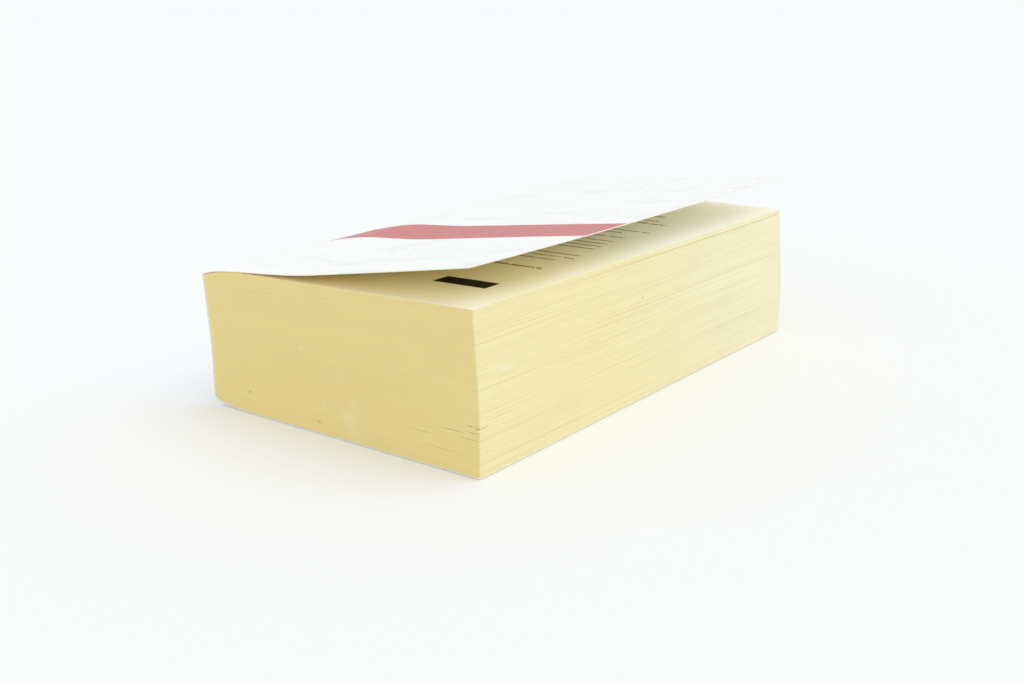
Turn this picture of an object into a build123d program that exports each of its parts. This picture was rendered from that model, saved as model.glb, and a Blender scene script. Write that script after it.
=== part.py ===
"""Thick paperback book lying on its back cover, with the front cover curled open.

X runs from the spine to the fore-edge, Y from tail to head, Z up.
The origin is on the table, under the middle of the back cover.
"""

import os
from math import radians, tan
from types import SimpleNamespace

from build123d import *

os.makedirs("parts", exist_ok=True)

# Trim size
trim_width = 108.0  # outside of the spine to the fore-edge
trim_height = 187.0  # tail to head

# Cover card and binding adhesive
card = 0.3
glue_film = 0.9
cover_gap = 0.3  # air between the front cover and the first leaf near the spine

# Stack of leaves, pressed at the spine and looser at the fore-edge, most of all at the tail
spine_thickness = 40.8
tail_fore_edge_thickness = 48.4
head_fore_edge_thickness = 46.3
lean = 2.5  # the upper leaves stand this much further to the spine side
spine_upright = 18.0  # height to which the spine stands upright
fore_edge_upright = 20.0  # height to which the fore-edge stands upright
lean_radius = 150.0

# Lower edge of the spine, rounded by use
heel_width = 11.0
heel_rise = 1.3
heel_radius = 2.2
heel_blend_radius = 60.0

# First leaves, sloping up from the spine
shoulder_width = 14.5
shoulder_rise = 2.8
shoulder_radius = 110.0

# Front cover, in four stretches from the spine out, at angles in degrees to the first leaves
root_length = 7.0
hump_length = 11.0
middle_length = 23.0
root_angle = 4.1
tail_angles = (-4.2, 3.6, 8.4)  # hump, middle and free stretch: it sags onto the leaves, then curls up
settled_angles = (2.1, 3.7, 6.9)  # further on it stands off the leaves
head_angles = (2.1, 8.2, 6.2)  # and rises evenly
settled_distance = 60.0  # from the tail
root_radius = 40.0
hump_radius = 110.0
lift_radius = 200.0

# Folds of the cover
fold_radius = 0.5  # inside the upper fold
fold_land = 0.4  # flat between the rounding of a fold and its turning line
turn_clearance = 0.05  # the covers turn about lines this far outside the card

# Partings, where groups of leaves stand apart at the trimmed edges
parting_levels = (0.08, 0.17, 0.29, 0.41, 0.52, 0.655, 0.78, 0.91, 0.966)  # share of leaves below each
parting_start = 34.0  # from the leaves' spine side
parting_gap = 0.25  # width at the fore-edge
parting_depth = 0.8


def shifted(run, distance):
    """The straight run (start, end), moved to the left of its direction."""
    start, end = run
    along = (end - start).normalized()
    side = Vector(-along.Y, along.X) * distance
    return start + side, end + side


def direction(run):
    """Unit vector along a straight run."""
    start, end = run
    return (end - start).normalized()


def meeting(first, second):
    """Point where two straight runs, drawn on past their ends, cross."""
    along_first = direction(first)
    along_second = direction(second)
    between = second[0] - first[0]
    cross = along_first.X * along_second.Y - along_first.Y * along_second.X
    return first[0] + along_first * ((between.X * along_second.Y - between.Y * along_second.X) / cross)


def fold_setback(before, after, radius):
    """Distance from a fold's sharp corner to the end of its rounding."""
    turn = direction(before).get_angle(direction(after))
    return radius * tan(radians(turn) / 2)


# Corners of the leaves' cross-section, as (X, Z), from the lower fore-edge round by the spine
leaf_spine = -trim_width / 2 + card + glue_film
fore_edge = trim_width / 2
fore_foot = Vector(fore_edge, card)
heel_start = Vector(leaf_spine + heel_width, card)
heel = Vector(leaf_spine, card + heel_rise)
spine_bend = Vector(leaf_spine, spine_upright)
spine_top = Vector(leaf_spine - lean, card + heel_rise + spine_thickness)
shoulder = spine_top + Vector(shoulder_width, shoulder_rise)
fore_bend = Vector(fore_edge, fore_edge_upright)

# Runs of the card's inner face: on the leaves below, round the adhesive, clear of the leaves above
heel_run = (heel_start, heel)
spine_run = shifted((heel, spine_bend), glue_film)
lean_run = shifted((spine_bend, spine_top), glue_film)
root_start, shoulder_end = shifted((spine_top, shoulder), cover_gap)
root_way = direction((root_start, shoulder_end)).rotate(Axis.Z, root_angle)
root_run = (root_start, root_start + root_way)

# Corners of the card's inner face
card_heel = meeting(heel_run, spine_run)
card_bend = meeting(spine_run, lean_run)
card_fold = meeting(lean_run, root_run)
card_heel_radius = heel_radius + glue_film

# Lines where the front and the back cover part from the spine, on the card's inner face
front_setback = fold_setback(lean_run, root_run, fold_radius) + fold_land
back_setback = fold_setback(heel_run, spine_run, card_heel_radius) + fold_land
front_parting = card_fold + root_way * front_setback
back_parting = card_heel - direction(heel_run) * back_setback

# Lines about which the covers turn, just outside the card
front_hinge = shifted((front_parting, front_parting + root_way), card + turn_clearance)[0]
back_hinge = shifted((back_parting, card_heel), card + turn_clearance)[0]

wedge_start = leaf_spine + parting_start
wedge_end = fore_edge + parting_depth


def section(distance, angles):
    """Shapes that change along the book, at a distance from the tail: leaves' height and cover's curl."""
    share = distance / trim_height
    fore_edge_thickness = tail_fore_edge_thickness * (1 - share) + head_fore_edge_thickness * share
    fore_top = Vector(fore_edge - lean, card + fore_edge_thickness)
    shoulder_way = direction((spine_top, shoulder))
    top_way = direction((shoulder, fore_top))
    hump_angle, middle_angle, free_angle = angles
    free_length = trim_width - root_length - hump_length - middle_length
    card_root = card_fold + root_way * root_length
    card_hump = card_root + shoulder_way.rotate(Axis.Z, hump_angle) * hump_length
    card_lift = card_hump + top_way.rotate(Axis.Z, middle_angle) * middle_length
    card_edge = card_lift + top_way.rotate(Axis.Z, free_angle) * free_length
    top_slope = top_way.Y / top_way.X
    return SimpleNamespace(
        place=Plane.XZ.offset(trim_height / 2 - distance),
        fore_top=fore_top,
        card_corners=(card_root, card_hump, card_lift, card_edge),
        wedge_start_height=shoulder.Y - card + (wedge_start - shoulder.X) * top_slope,
        wedge_end_height=shoulder.Y - card + (wedge_end - shoulder.X) * top_slope,
    )


tail = section(0, tail_angles)
settled = section(settled_distance, settled_angles)
head = section(trim_height, head_angles)

# Thin wedges of air between groups of leaves, open at tail, fore-edge and head
with BuildPart() as partings:
    for level in parting_levels:
        for end in (tail, head):
            with BuildSketch(end.place):
                with BuildLine():
                    Polyline(
                        (wedge_start, card + level * end.wedge_start_height),
                        (wedge_end, card + level * end.wedge_end_height - parting_gap / 2),
                        (wedge_end, card + level * end.wedge_end_height + parting_gap / 2),
                        close=True,
                    )
                make_face()
        loft()
    # Deeper in, the leaves lie shut
    with BuildSketch(Plane.XZ):
        with BuildLine():
            Polyline(
                (leaf_spine, card),
                (fore_foot.X - parting_depth, fore_foot.Y),
                (fore_bend.X - parting_depth, fore_bend.Y),
                (tail.fore_top.X - parting_depth, tail.fore_top.Y),
                (leaf_spine, tail.fore_top.Y),
                close=True,
            )
        make_face()
    extrude(amount=trim_height / 2 - parting_depth, both=True, mode=Mode.SUBTRACT)

with BuildPart() as text_block:
    for end in (tail, head):
        with BuildSketch(end.place):
            with BuildLine():
                FilletPolyline(
                    fore_foot,
                    heel_start,
                    heel,
                    spine_bend,
                    spine_top,
                    shoulder,
                    end.fore_top,
                    fore_bend,
                    radius=[0, heel_blend_radius, heel_radius, lean_radius]
                    + [0, shoulder_radius, 0, lean_radius],
                    close=True,
                )
            make_face()
    loft()
    add(partings.part, mode=Mode.SUBTRACT)

# The adhesive fills the straight of the spine, between the card's two roundings
glue_foot = Vector(leaf_spine, card_heel.Y + fold_setback(heel_run, spine_run, card_heel_radius))
fold_start = card_fold - direction(lean_run) * fold_setback(lean_run, root_run, fold_radius)
glue_head = shifted((fold_start, card_fold), -glue_film)[0]

with BuildPart() as spine_glue:
    with BuildSketch(Plane.XZ):
        with BuildLine():
            FilletPolyline(glue_foot, spine_bend, glue_head, radius=lean_radius)
            offset(amount=glue_film, side=Side.LEFT)
        make_face()
    extrude(amount=trim_height / 2, both=True)

with BuildPart() as cover_spine:
    with BuildSketch(Plane.XZ):
        with BuildLine():
            FilletPolyline(
                back_parting,
                card_heel,
                card_bend,
                card_fold,
                front_parting,
                radius=[card_heel_radius, lean_radius - glue_film, fold_radius],
            )
            offset(amount=card, side=Side.LEFT)
        make_face()
    extrude(amount=trim_height / 2, both=True)

with BuildPart() as front_cover:
    for station in (tail, settled, head):
        with BuildSketch(station.place):
            with BuildLine():
                FilletPolyline(
                    front_parting,
                    *station.card_corners,
                    radius=[root_radius, hump_radius, lift_radius],
                )
                offset(amount=card, side=Side.LEFT)
            make_face()
    loft()

with BuildPart() as back_cover:
    with BuildSketch(Plane.XZ):
        with BuildLine():
            FilletPolyline(fore_foot, heel_start, back_parting, radius=heel_blend_radius)
            offset(amount=card, side=Side.LEFT)
        make_face()
    extrude(amount=trim_height / 2, both=True)

text_block.part.label = "text_block"
spine_glue.part.label = "spine_glue"
cover_spine.part.label = "cover_spine"
front_cover.part.label = "front_cover"
back_cover.part.label = "back_cover"

export_step(text_block.part, "parts/text_block.step")
export_step(spine_glue.part, "parts/spine_glue.step")
export_step(cover_spine.part, "parts/cover_spine.step")
export_step(front_cover.part, "parts/front_cover.step")
export_step(back_cover.part, "parts/back_cover.step")
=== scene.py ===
"""Thick paperback book lying on its back cover, dressed for a studio picture.

Sizes are in millimetres until a mesh is made. X runs from the spine to the fore-edge, Y from tail to
head and Z up. A place in the book is often given as shares: of the way out from the spine, of the
leaves from the lowest up, and of the way along from tail to head.
"""

import math

import bpy
import numpy as np
from mathutils import Matrix, Vector


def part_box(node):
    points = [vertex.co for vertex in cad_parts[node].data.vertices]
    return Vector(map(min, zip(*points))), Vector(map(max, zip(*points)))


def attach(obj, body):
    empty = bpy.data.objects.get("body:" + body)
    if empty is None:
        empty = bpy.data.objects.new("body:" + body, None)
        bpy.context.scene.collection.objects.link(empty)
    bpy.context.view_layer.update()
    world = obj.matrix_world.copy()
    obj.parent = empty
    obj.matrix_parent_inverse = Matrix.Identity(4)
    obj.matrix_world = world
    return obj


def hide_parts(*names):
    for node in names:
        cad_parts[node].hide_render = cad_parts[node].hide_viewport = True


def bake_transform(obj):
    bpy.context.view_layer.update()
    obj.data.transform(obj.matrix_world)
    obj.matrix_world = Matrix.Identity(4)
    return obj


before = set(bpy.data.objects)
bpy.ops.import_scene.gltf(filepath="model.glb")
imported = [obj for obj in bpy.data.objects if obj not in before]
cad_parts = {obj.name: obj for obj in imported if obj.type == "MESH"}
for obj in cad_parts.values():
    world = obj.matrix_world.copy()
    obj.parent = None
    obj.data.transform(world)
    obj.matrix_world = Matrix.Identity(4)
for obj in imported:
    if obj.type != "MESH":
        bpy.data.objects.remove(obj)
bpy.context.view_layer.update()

MM = 0.001
rng = np.random.default_rng(11)

# Trim size, card and adhesive
leaves_low, leaves_high = (np.array(corner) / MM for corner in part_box("text_block"))
trim_height = leaves_high[1] - leaves_low[1]
fore_edge = leaves_high[0]
trim_width = 2 * fore_edge
card = leaves_low[2]
glue_film = 0.9
cover_gap = 0.3  # air between the front cover and the first leaf near the spine

# Stack of leaves, pressed at the spine and looser at the fore-edge
spine_thickness = 40.8
tail_leaf_top = leaves_high[2]
head_leaf_top = 46.6
lean = 2.5  # the upper leaves stand this much further to the spine side
spine_upright = 18.0
fore_edge_upright = 20.0
lean_radius = 150.0

# Lower edge of the spine, rounded by use
heel_width = 11.0
heel_rise = 1.3
heel_radius = 2.2
pressed_heel_radius = 1.5  # of the leaves, pressed out into the card
heel_blend_radius = 60.0

# First leaves, sloping up from the spine
shoulder_width = 14.5
shoulder_rise = 2.8
shoulder_radius = 110.0

# Front cover, in four stretches from the spine out, at angles in degrees to the first leaves
root_length = 7.0
hump_length = 11.0
middle_length = 23.0
root_angle = 4.1
tail_angles = (-4.2, 3.6, 8.4)
settled_angles = (2.1, 3.7, 6.9)
head_angles = (2.1, 8.2, 6.2)
settled_distance = 60.0  # from the tail
root_radius = 40.0
hump_radius = 110.0
lift_radius = 200.0

# Folds of the cover
fold_radius = 0.5
fold_land = 0.4  # flat between the rounding of a fold and its turning line

# Partings, where groups of leaves stand apart at the trimmed edges
parting_levels = (0.08, 0.17, 0.29, 0.41, 0.52, 0.655, 0.78, 0.91, 0.966)
parting_start = 34.0  # from the leaves' spine side
parting_gap = 0.25
parting_depth = 0.8


def unit(v):
    """v at length 1."""
    return v / np.linalg.norm(v, axis=-1, keepdims=True)


def left_of(v):
    """v turned a quarter to the left."""
    return np.stack([-v[..., 1], v[..., 0]], -1)


def turned(v, degrees):
    """v turned to the left by an angle."""
    angle = math.radians(degrees)
    return v * math.cos(angle) + left_of(v) * math.sin(angle)


def shifted(start, end, distance):
    """A straight run, moved to the left of its direction."""
    side = left_of(unit(end - start)) * distance
    return start + side, end + side


def meeting(first, second):
    """Point where two straight runs, drawn on past their ends, cross."""
    ways = np.stack([first[1] - first[0], second[0] - second[1]], 1)
    return first[0] + (first[1] - first[0]) * np.linalg.solve(ways, second[0] - first[0])[0]


def setback(before, corner, after, radius):
    """Distance from a sharp corner to the end of its rounding."""
    turn = math.acos(float(unit(corner - before) @ unit(after - corner)))
    return radius * math.tan(turn / 2)


def rounded(corners, radii, per_run=16, per_arc=16):
    """Points along straight runs joined by arcs, with the same count on each for any sizes."""
    parts = [np.array(corners[:1])]
    for before, corner, after, radius in zip(corners, corners[1:], corners[2:], radii):
        into = unit(corner - before)
        away = unit(after - corner)
        turn = math.atan2(into[0] * away[1] - into[1] * away[0], into @ away)
        start = corner - into * setback(before, corner, after, radius)
        spoke = -left_of(into) * math.copysign(radius, turn)
        angles = np.linspace(0, turn, per_arc + 1)[:, None]
        parts.append(np.linspace(parts[-1][-1], start, per_run, endpoint=False)[1:])
        parts.append(start - spoke + spoke * np.cos(angles) + left_of(spoke) * np.sin(angles))
    parts.append(np.linspace(parts[-1][-1], corners[-1], per_run + 1)[1:])
    return np.concatenate(parts)


def path_length(path):
    """Length of a path of points."""
    return np.linalg.norm(np.diff(path, axis=0), axis=1).sum()


def resampled(path, shares):
    """Points at the given shares of a path's length."""
    length = np.concatenate([[0], np.cumsum(np.linalg.norm(np.diff(path, axis=0), axis=1))])
    return np.stack([np.interp(shares * length[-1], length, path[:, k]) for k in range(2)], 1)


# Corners of the leaves' cross-section, as (X, Z)
leaf_spine = -fore_edge + card + glue_film
leaf_width = fore_edge - leaf_spine
fore_foot = np.array([fore_edge, card])
heel_start = np.array([leaf_spine + heel_width, card])
heel = np.array([leaf_spine, card + heel_rise])
spine_bend = np.array([leaf_spine, spine_upright])
spine_top = np.array([leaf_spine - lean, card + heel_rise + spine_thickness])
shoulder = spine_top + [shoulder_width, shoulder_rise]
fore_bend = np.array([fore_edge, fore_edge_upright])
tail_fore_top = np.array([fore_edge - lean, tail_leaf_top])
head_fore_top = np.array([fore_edge - lean, head_leaf_top])

# Outlines of the stack of leaves
bottom_line = rounded([heel, heel_start, fore_foot], [heel_blend_radius])
spine_line = rounded([heel, spine_bend, spine_top], [lean_radius])
fore_line = rounded([fore_foot, fore_bend, tail_fore_top], [lean_radius])
tail_top_line = rounded([spine_top, shoulder, tail_fore_top], [shoulder_radius])
head_top_line = rounded([spine_top, shoulder, head_fore_top], [shoulder_radius])

# Corners of the card's inner face, and the lines where its panels part
spine_run = shifted(heel, spine_bend, glue_film)
lean_run = shifted(spine_bend, spine_top, glue_film)
shoulder_way = unit(shoulder - spine_top)
root_way = turned(shoulder_way, root_angle)
root_start = shifted(spine_top, shoulder, cover_gap)[0]
card_heel = meeting((heel_start, heel), spine_run)
card_bend = meeting(spine_run, lean_run)
card_fold = meeting(lean_run, (root_start, root_start + root_way))
card_heel_radius = heel_radius + glue_film
heel_way = unit(heel - heel_start)
lean_way = unit(card_fold - card_bend)
fold_setback = setback(card_bend, card_fold, card_fold + root_way, fold_radius)
heel_setback = setback(heel_start, card_heel, card_bend, card_heel_radius)
front_parting = card_fold + root_way * (fold_setback + fold_land)
back_parting = card_heel - heel_way * (heel_setback + fold_land)


def front_path(distance, angles):
    """Inner face of the front cover at a distance from the tail."""
    fore_top = tail_fore_top + (head_fore_top - tail_fore_top) * distance / trim_height
    top_way = unit(fore_top - shoulder)
    hump_angle, middle_angle, free_angle = angles
    free_length = trim_width - root_length - hump_length - middle_length
    root = card_fold + root_way * root_length
    hump = root + turned(shoulder_way, hump_angle) * hump_length
    lift = hump + turned(top_way, middle_angle) * middle_length
    edge = lift + turned(top_way, free_angle) * free_length
    return rounded([front_parting, root, hump, lift, edge], [root_radius, hump_radius, lift_radius])


def through(stations, at):
    """Shares of each station in the smooth curve through them, at the given places."""
    shares = np.ones((len(stations), len(at)))
    for k, own in enumerate(stations):
        for other in stations[:k] + stations[k + 1 :]:
            shares[k] *= (at - other) / (own - other)
    return shares


def as_share(line, axis):
    """A line's points as shares of its own extent along one axis."""
    return (line[:, axis] - line[0, axis]) / (line[-1, axis] - line[0, axis])


# The first leaves cling to the cover near the spine: distances from it, and how far they rise
FIRST_LEAVES_RISE = ((0.0, 3.0, 7.0, 13.0, 20.0), (0.15, 0.35, 0.45, 0.2, 0.0))


def leaf_places(out, level, along):
    """Places in the stack at shares out from the spine, up through the leaves and along to the head."""
    bottom = np.interp(out, as_share(bottom_line, 0), bottom_line[:, 1])
    tail_top = np.interp(out, as_share(tail_top_line, 0), tail_top_line[:, 1])
    head_top = np.interp(out, as_share(head_top_line, 0), head_top_line[:, 1])
    top = tail_top * (1 - along) + head_top * along
    top = top + np.interp(out * leaf_width, *FIRST_LEAVES_RISE)
    spine_x = np.interp(level, as_share(spine_line, 1), spine_line[:, 0])
    fore_x = np.interp(level, as_share(fore_line, 1), fore_line[:, 0])
    above_heel = np.clip(level * spine_thickness, 0, pressed_heel_radius)
    inward = np.sqrt(pressed_heel_radius**2 - (pressed_heel_radius - above_heel) ** 2)
    spine_x = spine_x + pressed_heel_radius - inward
    x = spine_x + out * (fore_x - spine_x)
    y = (along - 0.5) * trim_height
    z = bottom + level * (top - bottom)
    return np.stack(np.broadcast_arrays(x, y, z), -1)


def smooth_noise(rows, positions, wavelength):
    """One smooth random line a row, between -1 and 1, at the given positions."""
    count = int(positions[-1] / wavelength) + 3
    knots = rng.uniform(-1, 1, (rows, count))
    at = positions / wavelength
    first = at.astype(int)
    part = at - first
    part = part * part * (3 - 2 * part)
    return knots[:, first] * (1 - part) + knots[:, first + 1] * part


def graded(length, step, fine, reach):
    """Shares from 0 to 1 that lie step apart, and fine apart within reach of both ends."""
    ends = np.linspace(0, reach, round(reach / fine), endpoint=False)
    middle = np.linspace(reach, length - reach, max(2, int((length - 2 * reach) / step)))
    return np.concatenate([ends, middle, length - ends[::-1]]) / length


def new_object(name, places, faces, materials, kinds, place_map, bake_map):
    """Mesh object with a map of places in millimetres and a map of its own for baking.

    A face's kind is the number of its material.
    """
    mesh = bpy.data.meshes.new(name)
    mesh.from_pydata((np.asarray(places) * MM).tolist(), [], [list(map(int, face)) for face in faces])
    for material in materials:
        mesh.materials.append(material)
    mesh.polygons.foreach_set("material_index", np.asarray(kinds, np.int32))
    for title, values in (("Place", place_map), ("OFBake", bake_map)):
        layer = mesh.uv_layers.new(name=title)
        layer.uv.foreach_set("vector", np.asarray(values, np.float32).ravel())
    mesh.update()
    made = bpy.data.objects.new(name, mesh)
    bpy.context.scene.collection.objects.link(made)
    return made


def colour(red, green, blue):
    """Linear colour from screen values of 0 to 255."""
    screen = np.array([red, green, blue]) / 255
    linear = np.where(screen <= 0.04045, screen / 12.92, ((screen + 0.055) / 1.055) ** 2.4)
    return (*linear.tolist(), 1.0)


class Shading:
    """A material under construction: each call adds a node and gives its output."""

    def __init__(self, name):
        self.material = bpy.data.materials.new(name)
        self.material.use_nodes = True
        self.tree = self.material.node_tree
        self.surface = self.tree.nodes["Principled BSDF"]

    def put(self, socket, value):
        """Links an output to a socket, or sets the socket to a plain value."""
        if isinstance(value, bpy.types.NodeSocket):
            self.tree.links.new(value, socket)
        else:
            socket.default_value = value

    def node(self, kind, inputs, output=0, **options):
        """Adds a node, sets its options, and links or sets its inputs."""
        made = self.tree.nodes.new("ShaderNode" + kind)
        for key, value in options.items():
            setattr(made, key, value)
        for key, value in inputs.items():
            self.put(made.inputs[key], value)
        return made.outputs[output]

    def maths(self, operation, *values):
        """Result of one mathematical operation."""
        return self.node("Math", dict(enumerate(values)), operation=operation)

    def product(self, first, *others):
        """Product of several values."""
        for other in others:
            first = self.maths("MULTIPLY", first, other)
        return first

    def mixed(self, share, first, second):
        """Blend of two colours."""
        return self.node("Mix", {0: share, 6: first, 7: second}, output=2, data_type="RGBA")

    def place_map(self):
        """The map of places."""
        return self.node("UVMap", {}, uv_map="Place")

    def coordinates(self, where):
        """The two coordinates of a map."""
        return [self.node("SeparateXYZ", {0: where}, output=k) for k in range(2)]

    def noise(self, where, stretch, detail, roughness=0.55):
        """Noise over places that are first stretched by a factor each way."""
        scaled = self.node("VectorMath", {0: where, 1: (*stretch, 1.0)}, operation="MULTIPLY")
        inputs = {"Vector": scaled, "Scale": 1.0, "Detail": detail, "Roughness": roughness}
        return self.node("TexNoise", inputs, noise_dimensions="2D")

    def ramp(self, value, start, end, low=0.0, high=1.0):
        """Smooth climb from low to high as value goes from start to end."""
        inputs = {"Value": value, "From Min": start, "From Max": end, "To Min": low, "To Max": high}
        return self.node("MapRange", inputs, interpolation_type="SMOOTHSTEP")

    def stripe(self, value, start, end, soft):
        """1 where value lies between start and end, with soft edges."""
        rise = self.ramp(value, start - soft, start + soft)
        fall = self.ramp(value, end - soft, end + soft, low=1.0, high=0.0)
        return self.product(rise, fall)

    def spot(self, across, along, centre, size, turn):
        """1 in the middle of an ellipse, fading to 0 at its rim, turned by an angle."""
        dx = self.maths("SUBTRACT", across, centre[0])
        dy = self.maths("SUBTRACT", along, centre[1])
        cos = math.cos(math.radians(turn))
        sin = math.sin(math.radians(turn))
        length_part = self.maths("ADD", self.product(dx, cos / size[0]), self.product(dy, sin / size[0]))
        width_part = self.maths("SUBTRACT", self.product(dy, cos / size[1]), self.product(dx, sin / size[1]))
        length_square = self.product(length_part, length_part)
        width_square = self.product(width_part, width_part)
        square = self.maths("ADD", length_square, width_square)
        return self.ramp(square, 0.0, 1.0, low=1.0, high=0.0)

    def bump(self, height, distance, strength):
        """Links a height, over a distance in millimetres, to the surface's normal."""
        inputs = {"Height": height, "Distance": distance * MM, "Strength": strength}
        self.put(self.surface.inputs["Normal"], self.node("Bump", inputs))

    def finish(self, base, roughness, specular):
        """Links or sets the colour and the roughness, and sets the strength of reflections."""
        self.put(self.surface.inputs["Base Color"], base)
        self.put(self.surface.inputs["Roughness"], roughness)
        self.surface.inputs["Specular IOR Level"].default_value = specular
        return self.material


# Marks on the trimmed edges, as place round the edge and height, size, turn, strength and tone
EDGE_MARKS = (
    ((45.4, 3.9), (0.8, 0.7), 0.0, 0.3, (150, 128, 84)),
    ((15.7, 7.7), (0.9, 1.0), 20.0, 0.28, (158, 136, 90)),
    ((58.0, 6.0), (6.5, 3.0), 115.0, 0.3, (250, 236, 190)),
    ((60.0, 11.0), (5.0, 2.0), 100.0, 0.2, (250, 236, 190)),
    ((48.0, 9.7), (1.8, 0.5), 130.0, 0.5, (252, 240, 200)),
    ((39.4, 27.1), (1.1, 0.6), 20.0, 0.45, (252, 240, 200)),
    ((54.0, 20.5), (1.8, 3.0), 70.0, 0.18, (248, 232, 182)),
    ((120.0, 29.4), (5.0, 1.1), 0.0, 0.4, (253, 248, 222)),
    ((194.0, 34.8), (1.0, 0.8), 0.0, 0.3, (190, 172, 122)),
    ((103.3, 15.1), (1.2, 0.2), 0.0, 0.65, (138, 114, 66)),
    ((105.9, 14.8), (1.3, 0.2), 0.0, 0.75, (132, 108, 62)),
    ((108.6, 14.9), (3.0, 0.16), 0.0, 0.6, (150, 128, 78)),
    ((97.0, 12.8), (6.0, 0.25), 0.0, 0.35, (150, 126, 74)),
    ((104.2, 13.3), (3.4, 0.2), 0.0, 0.45, (142, 118, 68)),
    ((103.6, 11.2), (4.0, 0.2), 0.0, 0.35, (146, 122, 70)),
    ((108.4, 11.3), (1.6, 0.2), 0.0, 0.2, (160, 138, 86)),
    ((85.5, 10.0), (6.0, 0.25), 0.0, 0.28, (150, 126, 74)),
    ((93.0, 6.3), (10.0, 0.25), 0.0, 0.25, (156, 132, 80)),
    ((117.0, 16.6), (9.0, 0.18), 0.0, 0.3, (170, 150, 98)),
)

# Paper: distances from the tail between which it turns paler, and how far in its edges are browned. On the
# leaves the paling is painted light, and the browning at the tail, deeper towards the spine, is partly
# painted shade.
fore_edge_light_start = 40.0  # from here to the head the fore-edge is paler, as painted light
page_painted_light = (35.0, 130.0)
inside_paling = (30.0, 120.0)
fore_browning = 6.0
head_browning = 9.0
tail_browning_and_shade = 22.0
tail_browning_and_shade_full = 45.0  # from the spine: further out the browning and painted shade at the tail fade
tail_browning_and_shade_margin = 8.0  # from the fore-edge: here it has faded

# Print: a plain dark block and lines of unreadable text, as distances from the spine and the tail.
# A line has its height, its distance from the tail, its right end and its strength.
BLOCK_ACROSS = (74.2, 93.7)
BLOCK_ALONG = (22.5, 30.0)
PRINT_LINES = (
    (1.6, 52.6, 92.0, 0.9),
    (1.2, 65.4, 88.5, 0.75),
    (1.2, 70.0, 92.5, 0.75),
    (1.2, 74.6, 91.5, 0.75),
    (1.2, 86.0, 90.1, 0.75),
    (1.2, 90.6, 89.5, 0.75),
    (1.2, 95.2, 88.9, 0.75),
    (1.2, 99.8, 88.3, 0.75),
    (1.2, 107.0, 88.5, 0.75),
    (1.2, 114.4, 82.3, 0.75),
    (1.2, 119.0, 90.5, 0.75),
    (1.5, 134.0, 88.5, 0.9),
    (1.2, 139.4, 82.5, 0.75),
    (1.5, 147.6, 80.1, 0.9),
)
line_softness = 0.3
block_softness = 0.12

# Band across the front cover, as distances from the tail
BAND_ALONG = (56.4, 80.8)
band_softness = 0.12
band_raggedness = 0.2
band_start = 0.1  # from the fold: here the band has its full colour

# Wear of the coated card
wear_start = (2.0, 12.0)  # distances from the fold between which scuffs and smudges set in
smudge_strength = 0.4
scuff_strength = 0.42
band_scuff_strength = 0.4


def page_edge_material():
    """Trimmed edges of yellowed leaves, seen end on: fine lines of paper, tanned most at tail and head. The
    tail's darker tone is also painted shade, and the fore-edge's paling to the head is painted light.
    """
    fore_edge_cream = colour(248, 238, 186)
    # Paler tone of the fore-edge towards the head: painted light
    fore_edge_painted_light = colour(250, 244, 210)
    # Tan of the tail and head faces, darkened on the tail as painted shade
    tan = colour(242, 221, 154)
    thin_line = colour(200, 176, 110)
    broad_line = colour(212, 190, 126)
    stain = colour(226, 200, 134)
    bright_fibre = colour(252, 246, 218)
    look = Shading("page_edges")
    where = look.place_map()
    around, level = look.coordinates(where)
    leaf_lines = look.noise(where, stretch=(0.014, 4.5), detail=3.0)
    clumps = look.noise(where, stretch=(0.006, 1.3), detail=3.0)
    cloud = look.noise(where, stretch=(0.05, 0.07), detail=2.0)
    fibre = look.noise(where, stretch=(3.0, 6.0), detail=2.0)
    tanned_and_shaded = look.node("Attribute", {}, output=2, attribute_name="tanned_and_shaded")
    # Fore-edge paler towards the head: painted light
    to_head = look.ramp(around, leaf_width + fore_edge_light_start, leaf_width + trim_height)
    base = look.mixed(to_head, fore_edge_cream, fore_edge_painted_light)
    # Tail and head faces in their tan, which on the tail is also painted shade of the side away from the
    # light
    base = look.mixed(tanned_and_shaded, base, tan)
    lined = look.ramp(tanned_and_shaded, start=0.0, end=1.0, low=1.0, high=0.6)
    thin = look.product(look.ramp(leaf_lines, start=0.34, end=0.6, low=0.15, high=0.0), lined)
    base = look.mixed(thin, base, thin_line)
    broad = look.product(look.ramp(clumps, start=0.52, end=0.72, high=0.11), lined)
    base = look.mixed(broad, base, broad_line)
    base = look.mixed(look.ramp(cloud, start=0.45, end=0.8, high=0.07), base, stain)
    base = look.mixed(look.ramp(fibre, start=0.55, end=0.8, high=0.08), base, bright_fibre)
    for centre, size, turn, strength, tone in EDGE_MARKS:
        mark = look.product(look.spot(around, level, centre, size, turn), strength)
        base = look.mixed(mark, base, colour(*tone))
    look.bump(leaf_lines, distance=0.02, strength=0.4)
    return look.finish(base, roughness=0.88, specular=0.25)


def with_print(look, base, where, across, along):
    """A leaf's colour with its print on it."""
    ink = colour(64, 54, 34)
    block_ink = colour(44, 36, 20)
    words = look.ramp(look.noise(where, stretch=(0.36, 0.25), detail=1.0), start=0.3, end=0.36)
    letters = look.ramp(look.noise(where, stretch=(2.2, 1.6), detail=2.0), start=0.3, end=0.56, low=0.35)
    block_width = look.stripe(across, *BLOCK_ACROSS, block_softness)
    block_height = look.stripe(along, *BLOCK_ALONG, block_softness)
    base = look.mixed(look.product(block_width, block_height), base, block_ink)
    for height, low, right, strength in PRINT_LINES:
        line_height = look.stripe(along, low, low + height, line_softness)
        line_width = look.stripe(across, leaf_width - right, right, line_softness)
        printed = look.product(line_height, line_width, words, letters, strength)
        base = look.mixed(printed, base, ink)
    return base


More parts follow.
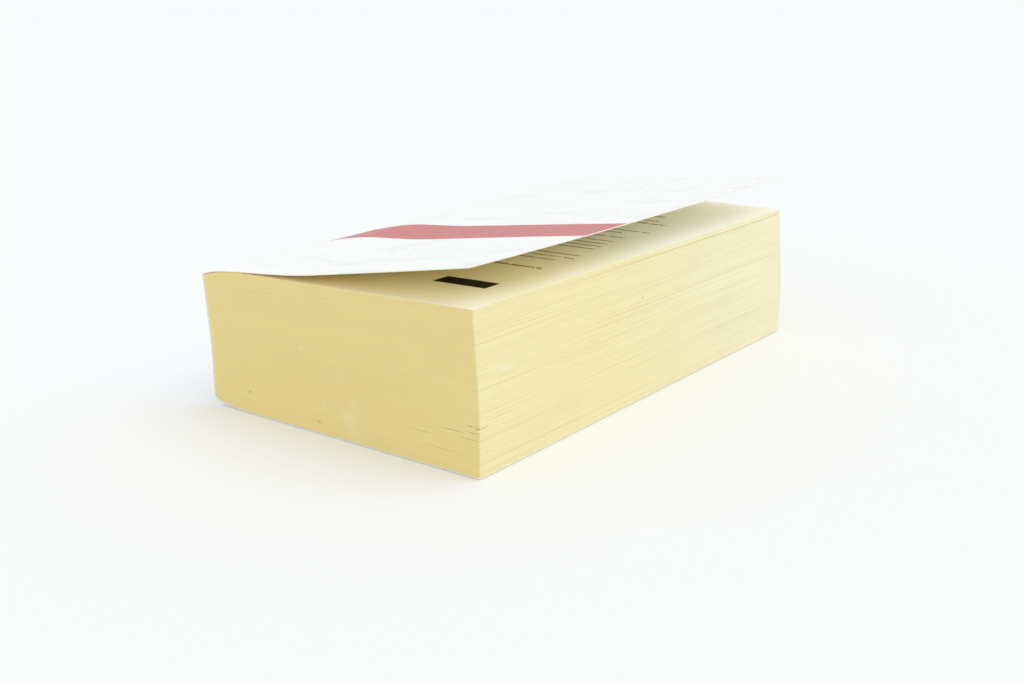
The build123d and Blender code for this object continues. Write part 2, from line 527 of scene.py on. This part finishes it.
def page_material(name, printed):
    """Face of a leaf of bulky cream paper, browned along its trimmed edges; paler to the head as painted
    light, with painted shade deepening the browning near the spine at the tail.
    """
    cream = colour(253, 249, 227)
    warm_cream = colour(252, 247, 220)
    # Paler tone towards the head: painted light
    pale = colour(253, 252, 243)
    dark_fibre = colour(222, 208, 164)
    # Browning of the edges, which at the tail near the spine is also painted shade
    brown = colour(236, 214, 146)
    look = Shading(name)
    where = look.place_map()
    across, along = look.coordinates(where)
    fibre = look.noise(where, stretch=(2.2, 2.2), detail=4.0)
    cloud = look.noise(where, stretch=(0.04, 0.04), detail=2.0)
    base = look.mixed(look.ramp(cloud, start=0.3, end=0.7), cream, warm_cream)
    # Paler towards the head: painted light for the lighter shade under the cover there
    base = look.mixed(look.ramp(along, *page_painted_light, high=0.9), base, pale)
    base = look.mixed(look.ramp(fibre, start=0.5, end=0.8, high=0.16), base, dark_fibre)
    near_edge = look.ramp(across, leaf_width - fore_browning, leaf_width, high=0.08)
    near_head = look.ramp(along, trim_height - head_browning, trim_height, high=0.12)
    # At the tail the browning deepens towards the spine: real browning with painted shade of the gap under
    # the cover
    near_tail = look.ramp(along, 0.0, tail_browning_and_shade, low=1.0, high=0.0)
    to_spine = look.ramp(across, tail_browning_and_shade_full, leaf_width - tail_browning_and_shade_margin, low=0.42, high=0.06)
    at_ends = look.maths("MAXIMUM", look.product(near_tail, to_spine), near_head)
    base = look.mixed(look.maths("MAXIMUM", near_edge, at_ends), base, brown)
    if printed:
        base = with_print(look, base, where, across, along)
    look.bump(fibre, distance=0.03, strength=0.5)
    return look.finish(base, roughness=0.88, specular=0.1)


def cover_material():
    """Coated white card with one band of flat colour, scuffed and smudged by use."""
    clean_white = colour(252, 252, 251)
    smudge_grey = colour(224, 226, 228)
    scuff_grey = colour(172, 175, 178)
    fresh_red = colour(208, 130, 128)
    rubbed_red = colour(228, 176, 173)
    look = Shading("cover_coated")
    where = look.place_map()
    out, along = look.coordinates(where)
    scuff = look.noise(where, stretch=(0.42, 0.6), detail=5.0, roughness=0.7)
    cluster = look.noise(where, stretch=(0.03, 0.045), detail=1.0)
    smudge = look.noise(where, stretch=(0.05, 0.08), detail=3.0, roughness=0.6)
    peel = look.noise(where, stretch=(0.16, 0.16), detail=1.0)
    off_fold = look.ramp(out, *wear_start)
    smudged = look.product(look.ramp(smudge, start=0.52, end=0.8), off_fold, smudge_strength)
    white = look.mixed(smudged, clean_white, smudge_grey)
    scuffed = look.ramp(scuff, start=0.58, end=0.68)
    in_cluster = look.ramp(cluster, start=0.5, end=0.62)
    worn = look.product(scuffed, in_cluster, off_fold, scuff_strength)
    white = look.mixed(worn, white, scuff_grey)
    red = look.mixed(look.product(scuffed, band_scuff_strength), fresh_red, rubbed_red)
    ragged = look.maths("ADD", along, look.product(scuff, band_raggedness))
    band = look.product(look.stripe(ragged, *BAND_ALONG, band_softness), look.ramp(out, 0.0, band_start))
    base = look.mixed(band, white, red)
    look.bump(peel, distance=0.01, strength=0.1)
    return look.finish(base, roughness=0.45, specular=0.1)


def inside_material():
    """Uncoated inner side of the card, paler to the head."""
    cream = colour(251, 245, 221)
    warm_cream = colour(250, 243, 214)
    pale = colour(252, 249, 237)
    dark_fibre = colour(230, 218, 180)
    look = Shading("cover_inside")
    where = look.place_map()
    along = look.coordinates(where)[1]
    fibre = look.noise(where, stretch=(1.8, 1.8), detail=4.0)
    cloud = look.noise(where, stretch=(0.03, 0.03), detail=2.0)
    base = look.mixed(look.ramp(cloud, start=0.3, end=0.7), cream, warm_cream)
    base = look.mixed(look.ramp(along, *inside_paling), base, pale)
    base = look.mixed(look.ramp(fibre, start=0.5, end=0.8, high=0.08), base, dark_fibre)
    look.bump(fibre, distance=0.02, strength=0.5)
    return look.finish(base, roughness=0.75, specular=0.3)


def cut_material():
    """Cut edge of the card, a little browned."""
    pale = colour(252, 249, 236)
    brown = colour(243, 235, 208)
    look = Shading("cover_cut_edge")
    fibre = look.noise(look.place_map(), stretch=(1.2, 1.2), detail=3.0)
    base = look.mixed(look.ramp(fibre, start=0.35, end=0.7), pale, brown)
    look.bump(fibre, distance=0.03, strength=0.6)
    return look.finish(base, roughness=0.8, specular=0.3)


def glue_material():
    """Hot-melt adhesive of the binding, greyed, lumpy and a little glossy."""
    pale = colour(238, 232, 204)
    grey = colour(226, 218, 186)
    look = Shading("binding_glue")
    lumps = look.noise(look.place_map(), stretch=(0.7, 0.7), detail=3.0)
    base = look.mixed(look.ramp(lumps, start=0.3, end=0.7), pale, grey)
    roughness = look.ramp(lumps, start=0.3, end=0.7, low=0.42, high=0.6)
    look.bump(lumps, distance=0.06, strength=0.5)
    return look.finish(base, roughness, specular=0.45)


page_edges = page_edge_material()
first_page = page_material("first_page", True)
last_page = page_material("last_page", False)
coated = cover_material()
inside = inside_material()
cut_edge = cut_material()
glue = glue_material()

# Stack of leaves: thin layers with grooves between them, round tail, fore-edge and head
layer_count = 150
layer_spread = 0.4  # how far a layer's thickness strays from the mean
out_steps = 36
along_steps = 64
edge_step = 0.6  # finer steps, within a reach of each edge
edge_reach = 1.2
end_share = 0.25  # unevenness of tail and head, as a share of the fore-edge's
edge_unevenness = 0.08
unevenness_wavelength = 45.0
unevenness_swing = 0.5  # change along a layer, as a share of the difference between layers
neighbour_weights = (0.25, 0.5, 0.25)  # layers beside each other stand back alike
groove_width = 0.05
groove_depth = 0.08
groove_wavelength = 24.0
mean_opening = 0.55  # how far a groove stands open along its length
opening_swing = 0.7
least_opening = 0.1
weak_width = 0.5  # shares of width and depth that the weakest groove has
weak_depth = 0.35
strong_width = 1.0  # what the strongest groove adds to them
strong_depth = 1.3
loose_share = 0.45  # how far most partings stand open
loose_wavelength = 60.0
mean_looseness = 0.3
looseness_swing = 0.9
upper_parting_start = 30.0  # along the fore-edge: from here on the uppermost parting opens
upper_parting_run = 60.0
page_wave = 0.08
page_wavelength = 70.0
page_wave_counts = (1, 2, 3)  # half waves through the height of the stack

# Panels of the map for baking: the sides below, the first and the last leaf above
sides_bake_size = (1.0, 0.5)
page_bake_size = (0.48, 0.46)
page_bake_starts = {"top": (0.0, 0.53), "bottom": (0.5, 0.53)}
hidden_bake_place = 0.515


def leaf_edges(around, column_out, on_fore):
    """Rows of the trimmed sides from the lowest leaf up: each one's level, and how far it stands back.

    Every layer of leaves has two rows, at its lower and upper edge, and a groove above it.
    """
    weight = rng.uniform(1 - layer_spread, 1 + layer_spread, layer_count)
    bounds = np.concatenate([[0], np.cumsum(weight)]) / weight.sum()
    amount = np.where(on_fore, 1.0, end_share)

    unevenness = smooth_noise(layer_count, around, unevenness_wavelength) * unevenness_swing
    unevenness = unevenness + rng.uniform(-1, 1, (layer_count, 1))
    unevenness = np.stack([np.convolve(line, neighbour_weights, "same") for line in unevenness.T], 1)
    stand_back = edge_unevenness * amount * np.clip((1 + unevenness) / 2, 0, 1)

    opening = mean_opening + opening_swing * smooth_noise(layer_count + 1, around, groove_wavelength)
    opening = np.clip(opening, least_opening, 1)
    strong = rng.uniform(0, 1, (layer_count + 1, 1)) ** 3
    gap = groove_width * opening * (weak_width + strong_width * strong) * amount
    depth = groove_depth * opening * (weak_depth + strong_depth * strong) * amount

    # A few grooves are partings, which widen from the spine out
    parted = {int(np.argmin(np.abs(bounds - level))) for level in parting_levels}
    taper = np.clip((column_out * leaf_width - parting_start) / (leaf_width - parting_start), 0, 1)
    to_head = np.clip((around - leaf_width - upper_parting_start) / upper_parting_run, 0, 1)
    for k in parted:
        loose = mean_looseness + looseness_swing * smooth_noise(1, around, loose_wavelength)[0]
        loose = loose_share * np.clip(loose, 0, 1) ** 2
        if k == max(parted):
            loose = np.maximum(loose, to_head)
        open_share = taper * loose * amount
        gap[k] = np.maximum(gap[k], parting_gap * open_share)
        depth[k] = np.maximum(depth[k], parting_depth * open_share)

    tallest = tail_leaf_top - card
    half = gap / 2 / tallest
    half[[0, -1]] = 0
    level_rows = []
    back_rows = []
    for k in range(layer_count):
        level_rows += [bounds[k] + half[k], bounds[k + 1] - half[k + 1]]
        back_rows += [stand_back[k], stand_back[k]]
        if k < layer_count - 1:
            level_rows.append(np.full(len(around), bounds[k + 1]))
            back_rows.append(np.maximum(stand_back[k], stand_back[k + 1]) + depth[k + 1])
    level = np.stack(level_rows)

    # Slight waves of the leaves, none at the first and the last
    wave = sum(
        smooth_noise(1, around, page_wavelength)[0] * np.sin(np.pi * level * count + count)
        for count in page_wave_counts
    )
    level = level + page_wave / tallest * wave * np.clip(4 * level * (1 - level), 0, 1)
    return level, np.stack(back_rows)


def leaf_block():
    """The whole stack as one closed mesh."""
    out = graded(leaf_width, leaf_width / out_steps, edge_step, edge_reach)
    along = graded(trim_height, trim_height / along_steps, edge_step, edge_reach)
    last_out = len(out) - 1
    last_along = len(along) - 1

    # Columns run round the three trimmed sides
    column_out = np.concatenate([out, np.ones(last_along - 1), out[::-1]])
    column_along = np.concatenate([np.zeros(last_out + 1), along[1:-1], np.ones(last_out + 1)])
    column_steps = np.hypot(np.diff(column_out) * leaf_width, np.diff(column_along) * trim_height)
    around = np.concatenate([[0], np.cumsum(column_steps)])
    on_fore = column_out == 1
    on_end = (column_along == 0) | (column_along == 1)
    columns = len(around)
    level, back = leaf_edges(around, column_out, on_fore)
    rows = len(level)
    side = leaf_places(column_out, level, column_along)
    side[..., 0] -= np.where(on_fore, back, 0)
    side[..., 1] += np.where(on_end, back * np.sign(0.5 - column_along), 0)

    # Faces of the first and the last leaf share the rim of the sides
    rim_of = {}
    for column in range(columns):
        i = int(np.argmin(np.abs(out - column_out[column])))
        j = int(np.argmin(np.abs(along - column_along[column])))
        rim_of[i, j] = column
    grid_out, grid_along = np.meshgrid(out, along, indexing="ij")
    places = [side.reshape(-1, 3)]
    numbers = {}
    total = rows * columns
    for name, share, row in (("bottom", 0.0, 0), ("top", 1.0, rows - 1)):
        grid = leaf_places(grid_out, share, grid_along)
        number = np.empty(grid.shape[:2], int)
        for i in range(last_out + 1):
            for j in range(last_along + 1):
                if (i, j) in rim_of:
                    number[i, j] = row * columns + rim_of[i, j]
                else:
                    number[i, j] = total
                    total += 1
                    places.append(grid[i, j][None])
        numbers[name] = number

    faces = []
    kinds = []
    place_map = []
    bake_map = []
    tallest = tail_leaf_top - card
    side_map = np.stack([np.broadcast_to(around, level.shape), level * tallest + card], -1).reshape(-1, 2)
    side_size = np.array([around[-1], tallest + card])
    for r in range(rows - 1):
        for c in range(columns - 1):
            first = r * columns + c
            face = [first, first + 1, first + columns + 1, first + columns]
            faces.append(face)
            kinds.append(0)
            place_map.append(side_map[face])
            bake_map.append(side_map[face] / side_size * sides_bake_size)
    page_size = np.array([leaf_width, trim_height])
    for name, kind in (("top", 1), ("bottom", 2)):
        number = numbers[name]
        for i in range(last_out):
            for j in range(last_along):
                corners = [(i, j), (i + 1, j), (i + 1, j + 1), (i, j + 1)]
                if name == "bottom":
                    corners = corners[::-1]
                spots = np.array([(out[p], along[q]) for p, q in corners])
                faces.append([number[corner] for corner in corners])
                kinds.append(kind)
                place_map.append(spots * page_size)
                bake_map.append(spots * page_bake_size + page_bake_starts[name])

    # The spine side closes the stack behind the adhesive
    for r in range(rows - 1):
        tail_edge = [r * columns, (r + 1) * columns]
        head_edge = [(r + 2) * columns - 1, (r + 1) * columns - 1]
        upper = [numbers["top"][0, j] for j in range(1, last_along)] if r == rows - 2 else []
        lower = [numbers["bottom"][0, j] for j in range(last_along - 1, 0, -1)] if r == 0 else []
        face = tail_edge + upper + head_edge + lower
        faces.append(face)
        kinds.append(0)
        place_map.append(np.full((len(face), 2), (0.0, r * tallest / rows)))
        bake_map.append(np.full((len(face), 2), hidden_bake_place))

    made = new_object(
        "leaves",
        np.concatenate(places),
        faces,
        [page_edges, first_page, last_page],
        kinds,
        np.concatenate(place_map),
        np.concatenate(bake_map),
    )
    made.data.polygons.foreach_set("use_smooth", np.array(kinds) > 0)
    # Tail and head faces carry the tan, which on the tail is also painted shade
    tanned_and_shaded = np.zeros(len(made.data.vertices), np.float32)
    tanned_and_shaded[: rows * columns] = np.tile(np.where(on_fore, 0.0, 1.0), rows)
    made.data.attributes.new("tanned_and_shaded", "FLOAT", "POINT").data.foreach_set("value", tanned_and_shaded)
    return made


# Sheets of card and adhesive
sheet_step = 1.8
spine_step = 0.35  # finer, for the roundings of the spine
rim_step = 0.12
rim_reach = 1.32
along_step = 2.4
end_step = 0.15
end_reach = 1.2
cut_softness = 0.05
free_corner_radius = 0.5
cover_ripple = 0.25
ripple_wavelengths = (55.0, 40.0)  # along the book and out from the fold
ripple_start = 25.0  # the ripple is full from this far out
glue_unevenness = 0.1
glue_wavelength = 2.5
glue_run_on = (1.3, 0.4)  # the adhesive squeezes out into the lower and the upper fold of the card

# Panels of a sheet's map for baking, with the rim's three strips between them
panel_bake_size = (0.46, 0.98)
outer_bake_start = (0.01, 0.01)
inner_bake_start = (0.53, 0.01)
rim_bake_start = 0.485
rim_bake_width = 0.01


def sheet(
    name,
    paths,
    thickness,
    materials,
    stations=(0.0,),
    start=0.0,
    step=sheet_step,
    cut=(1, 1),
    free_end=None,
    uneven=0.0,
    ripple=0.0,
):
    """Closed sheet on the left of paths, one for each station from tail to head.

    Tail and head are cut edges, softened, and so are the paths' start and end where cut is 1. A place on
    the sheet is its distance along the path, counted from start, and its distance from the tail.
    """
    length = path_length(paths[0])
    shares = graded(length, step, rim_step, rim_reach)
    along = graded(trim_height, along_step, end_step, end_reach)
    lines = np.stack([resampled(path, shares) for path in paths])
    inner = np.einsum("sj,sik->ijk", through(stations, along * trim_height), lines)
    way = unit(np.gradient(inner, axis=0))
    out = left_of(way)
    travel = shares * length
    y = np.broadcast_to((along - 0.5) * trim_height, inner.shape[:2]).copy()
    if free_end is not None:
        # Corners of the free edge, rounded by use
        from_edge = travel if free_end == 0 else length - travel
        to_round = free_corner_radius - np.clip(from_edge, 0, free_corner_radius)
        short = free_corner_radius - np.sqrt(free_corner_radius**2 - to_round**2)
        y *= (1 - short / (trim_height / 2))[:, None]
    if ripple:
        # Slight waves of handled card, none at the fold
        along_waves = smooth_noise(1, along * trim_height, ripple_wavelengths[0])[0]
        out_waves = smooth_noise(1, travel, ripple_wavelengths[1])[0]
        full = np.clip(travel / ripple_start, 0, 1)
        sink = ripple * (1 + out_waves[:, None] * along_waves) / 2 * full[:, None]
        inner = inner - out * sink[..., None]
    if uneven:
        # Adhesive that stops a little short of tail and head
        edge_in = uneven * (1 + smooth_noise(1, travel, glue_wavelength)[0]) / 2
        y *= (1 - edge_in / (trim_height / 2))[:, None]

    count_i, count_j = inner.shape[:2]
    loop = [(i, 0) for i in range(count_i)]
    loop += [(count_i - 1, j) for j in range(1, count_j)]
    loop += [(i, count_j - 1) for i in range(count_i - 2, -1, -1)]
    loop += [(0, j) for j in range(count_j - 2, 0, -1)]
    rim = tuple(np.array(loop).T)

    def layer(height, inset):
        """Points at a height through the sheet, drawn in at its rim."""
        drawn = inner + out * height
        drawn[0] += way[0] * inset * cut[0]
        drawn[-1] -= way[-1] * inset * cut[1]
        side = y.copy()
        side[:, 0] += inset
        side[:, -1] -= inset
        return np.stack([drawn[..., 0], side, drawn[..., 1]], -1)

    softness = min(cut_softness, thickness / 3)
    inner_face = layer(0.0, softness).reshape(-1, 3)
    outer_face = layer(thickness, softness).reshape(-1, 3)
    inner_rim = layer(softness, 0.0)[rim]
    outer_rim = layer(thickness - softness, 0.0)[rim]
    places = np.concatenate([inner_face, outer_face, inner_rim, outer_rim])
    grid_map = np.stack(np.broadcast_arrays(travel[:, None] + start, y + trim_height / 2), -1)
    where = np.concatenate([grid_map.reshape(-1, 2)] * 2 + [grid_map[rim]] * 2)

    # Faces of both sides, and three strips round the rim
    cells = np.arange(count_i * count_j).reshape(count_i, count_j)
    quads = np.stack([cells[:-1, :-1], cells[1:, :-1], cells[1:, 1:], cells[:-1, 1:]], -1).reshape(-1, 4)
    ring = np.arange(len(loop))
    rings = [cells[rim], 2 * cells.size + ring, 2 * cells.size + len(loop) + ring, cells.size + cells[rim]]
    strips = [np.stack([a, np.roll(a, -1), np.roll(b, -1), b], -1) for a, b in zip(rings, rings[1:])]
    faces = np.concatenate([quads[:, ::-1], quads + cells.size, *strips])
    kinds = np.repeat([1, 0, 2], [len(quads), len(quads), len(strips) * len(loop)])

    panel = np.stack(np.meshgrid(shares, along, indexing="ij"), -1).reshape(-1, 2) * panel_bake_size
    bake = [(panel + inner_bake_start)[quads[:, ::-1]], (panel + outer_bake_start)[quads]]
    for k in range(len(strips)):
        near = np.full(len(loop), rim_bake_start + rim_bake_width * k)
        far = near + rim_bake_width
        low = ring / len(loop)
        high = (ring + 1) / len(loop)
        corners = [(near, low), (near, high), (far, high), (far, low)]
        bake.append(np.stack([np.stack(corner, -1) for corner in corners], 1))
    bake_map = np.concatenate(bake).reshape(-1, 2)
    made = new_object(name, places, faces, materials, kinds, where[faces].reshape(-1, 2), bake_map)
    made.data.polygons.foreach_set("use_smooth", kinds < 2)
    return made


front_stations = (0.0, settled_distance, trim_height)
front_angles = (tail_angles, settled_angles, head_angles)
front_paths = [front_path(distance, angles) for distance, angles in zip(front_stations, front_angles)]
spine_path = rounded(
    [back_parting, card_heel, card_bend, card_fold, front_parting],
    [card_heel_radius, lean_radius - glue_film, fold_radius],
)
back_path = rounded([fore_foot, heel_start, back_parting], [heel_blend_radius])
glue_foot = np.array([leaf_spine, card_heel[1] + heel_setback - glue_run_on[0]])
glue_head = card_fold - left_of(lean_way) * glue_film + lean_way * (glue_run_on[1] - fold_setback)
glue_path = rounded([glue_foot, spine_bend, glue_head], [lean_radius])

# Places on the spine and the back cover are counted as lying before the fold, where the band ends
spine_start = -path_length(spine_path)
back_start = -400.0

cover_looks = [coated, inside, cut_edge]
leaves = leaf_block()
front = sheet(
    "front_card",
    front_paths,
    card,
    cover_looks,
    stations=front_stations,
    cut=(0, 1),
    free_end=1,
    ripple=cover_ripple,
)
spine = sheet("spine_card", [spine_path], card, cover_looks, start=spine_start, step=spine_step, cut=(0, 0))
back = sheet("back_card", [back_path], card, cover_looks, start=back_start, cut=(1, 0), free_end=0)
glue_strip = sheet("glue_strip", [glue_path], glue_film, [glue, glue, glue], uneven=glue_unevenness)


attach(leaves, "book_block")
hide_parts("text_block")
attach(glue_strip, "book_block")
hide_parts("spine_glue")
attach(spine, "book_block")
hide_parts("cover_spine")
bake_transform(front)
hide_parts("front_cover")
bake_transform(back)
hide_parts("back_cover")

# Studio: pale floor and soft light all round
floor_reach = 30.0  # in metres, to each side
floor_white = colour(247, 248, 248)
contact_gap = 0.3  # the card lies this little above the floor
floor_mesh = bpy.data.meshes.new("floor")
floor_corners = [(-1, -1), (1, -1), (1, 1), (-1, 1)]
floor_mesh.from_pydata([(x * floor_reach, y * floor_reach, 0) for x, y in floor_corners], [], [(0, 1, 2, 3)])
floor_mesh.materials.append(Shading("floor").finish(floor_white, roughness=0.9, specular=0.1))
floor = bpy.data.objects.new("floor", floor_mesh)
floor.location.z = -contact_gap * MM
bpy.context.scene.collection.objects.link(floor)

sky_white = colour(252, 254, 255)
sky_strength = 0.86
world = bpy.data.worlds.new("studio")
bpy.context.scene.world = world
world.use_nodes = True
sky = world.node_tree.nodes["Background"]
sky.inputs["Color"].default_value = sky_white
sky.inputs["Strength"].default_value = sky_strength

# Broad window light from above, on the fore-edge side
window_energy = 0.66
window_angle = 60.0
window_way = Vector((-0.4, -0.2, -0.9))
window_data = bpy.data.lights.new("window", "SUN")
window_data.energy = window_energy
window_data.angle = math.radians(window_angle)
window = bpy.data.objects.new("window", window_data)
window.rotation_euler = window_way.to_track_quat("-Z", "Y").to_euler()
bpy.context.scene.collection.objects.link(window)

# Camera: the photograph's viewing angle
photo_width = 1024
focal_pixels = 1393.5
azimuth = math.radians(36.21)
elevation = math.radians(16.78)
roll = math.radians(-0.30)
camera_place = Vector((0.2742, -0.3796, 0.1492))
level_right = Vector((math.cos(azimuth), math.sin(azimuth), 0.0))
level_back = Vector((math.sin(azimuth), -math.cos(azimuth), 0.0))
backward = level_back * math.cos(elevation) + Vector((0.0, 0.0, math.sin(elevation)))
level_up = backward.cross(level_right)
right = level_right * math.cos(roll) - level_up * math.sin(roll)
up = level_up * math.cos(roll) + level_right * math.sin(roll)
camera_data = bpy.data.cameras.new("camera")
camera_data.sensor_fit = "HORIZONTAL"
camera_data.sensor_width = 36.0
camera_data.lens = focal_pixels * camera_data.sensor_width / photo_width
camera_data.clip_start = 0.01
camera = bpy.data.objects.new("camera", camera_data)
turn = Matrix((right, up, backward)).transposed().to_4x4()
camera.matrix_world = Matrix.Translation(camera_place) @ turn
bpy.context.scene.collection.objects.link(camera)
bpy.context.scene.camera = camera
bpy.context.scene.view_settings.view_transform = "Standard"
bpy.context.scene.cycles.diffuse_bounces = 12  # light passes many times between pale paper and card
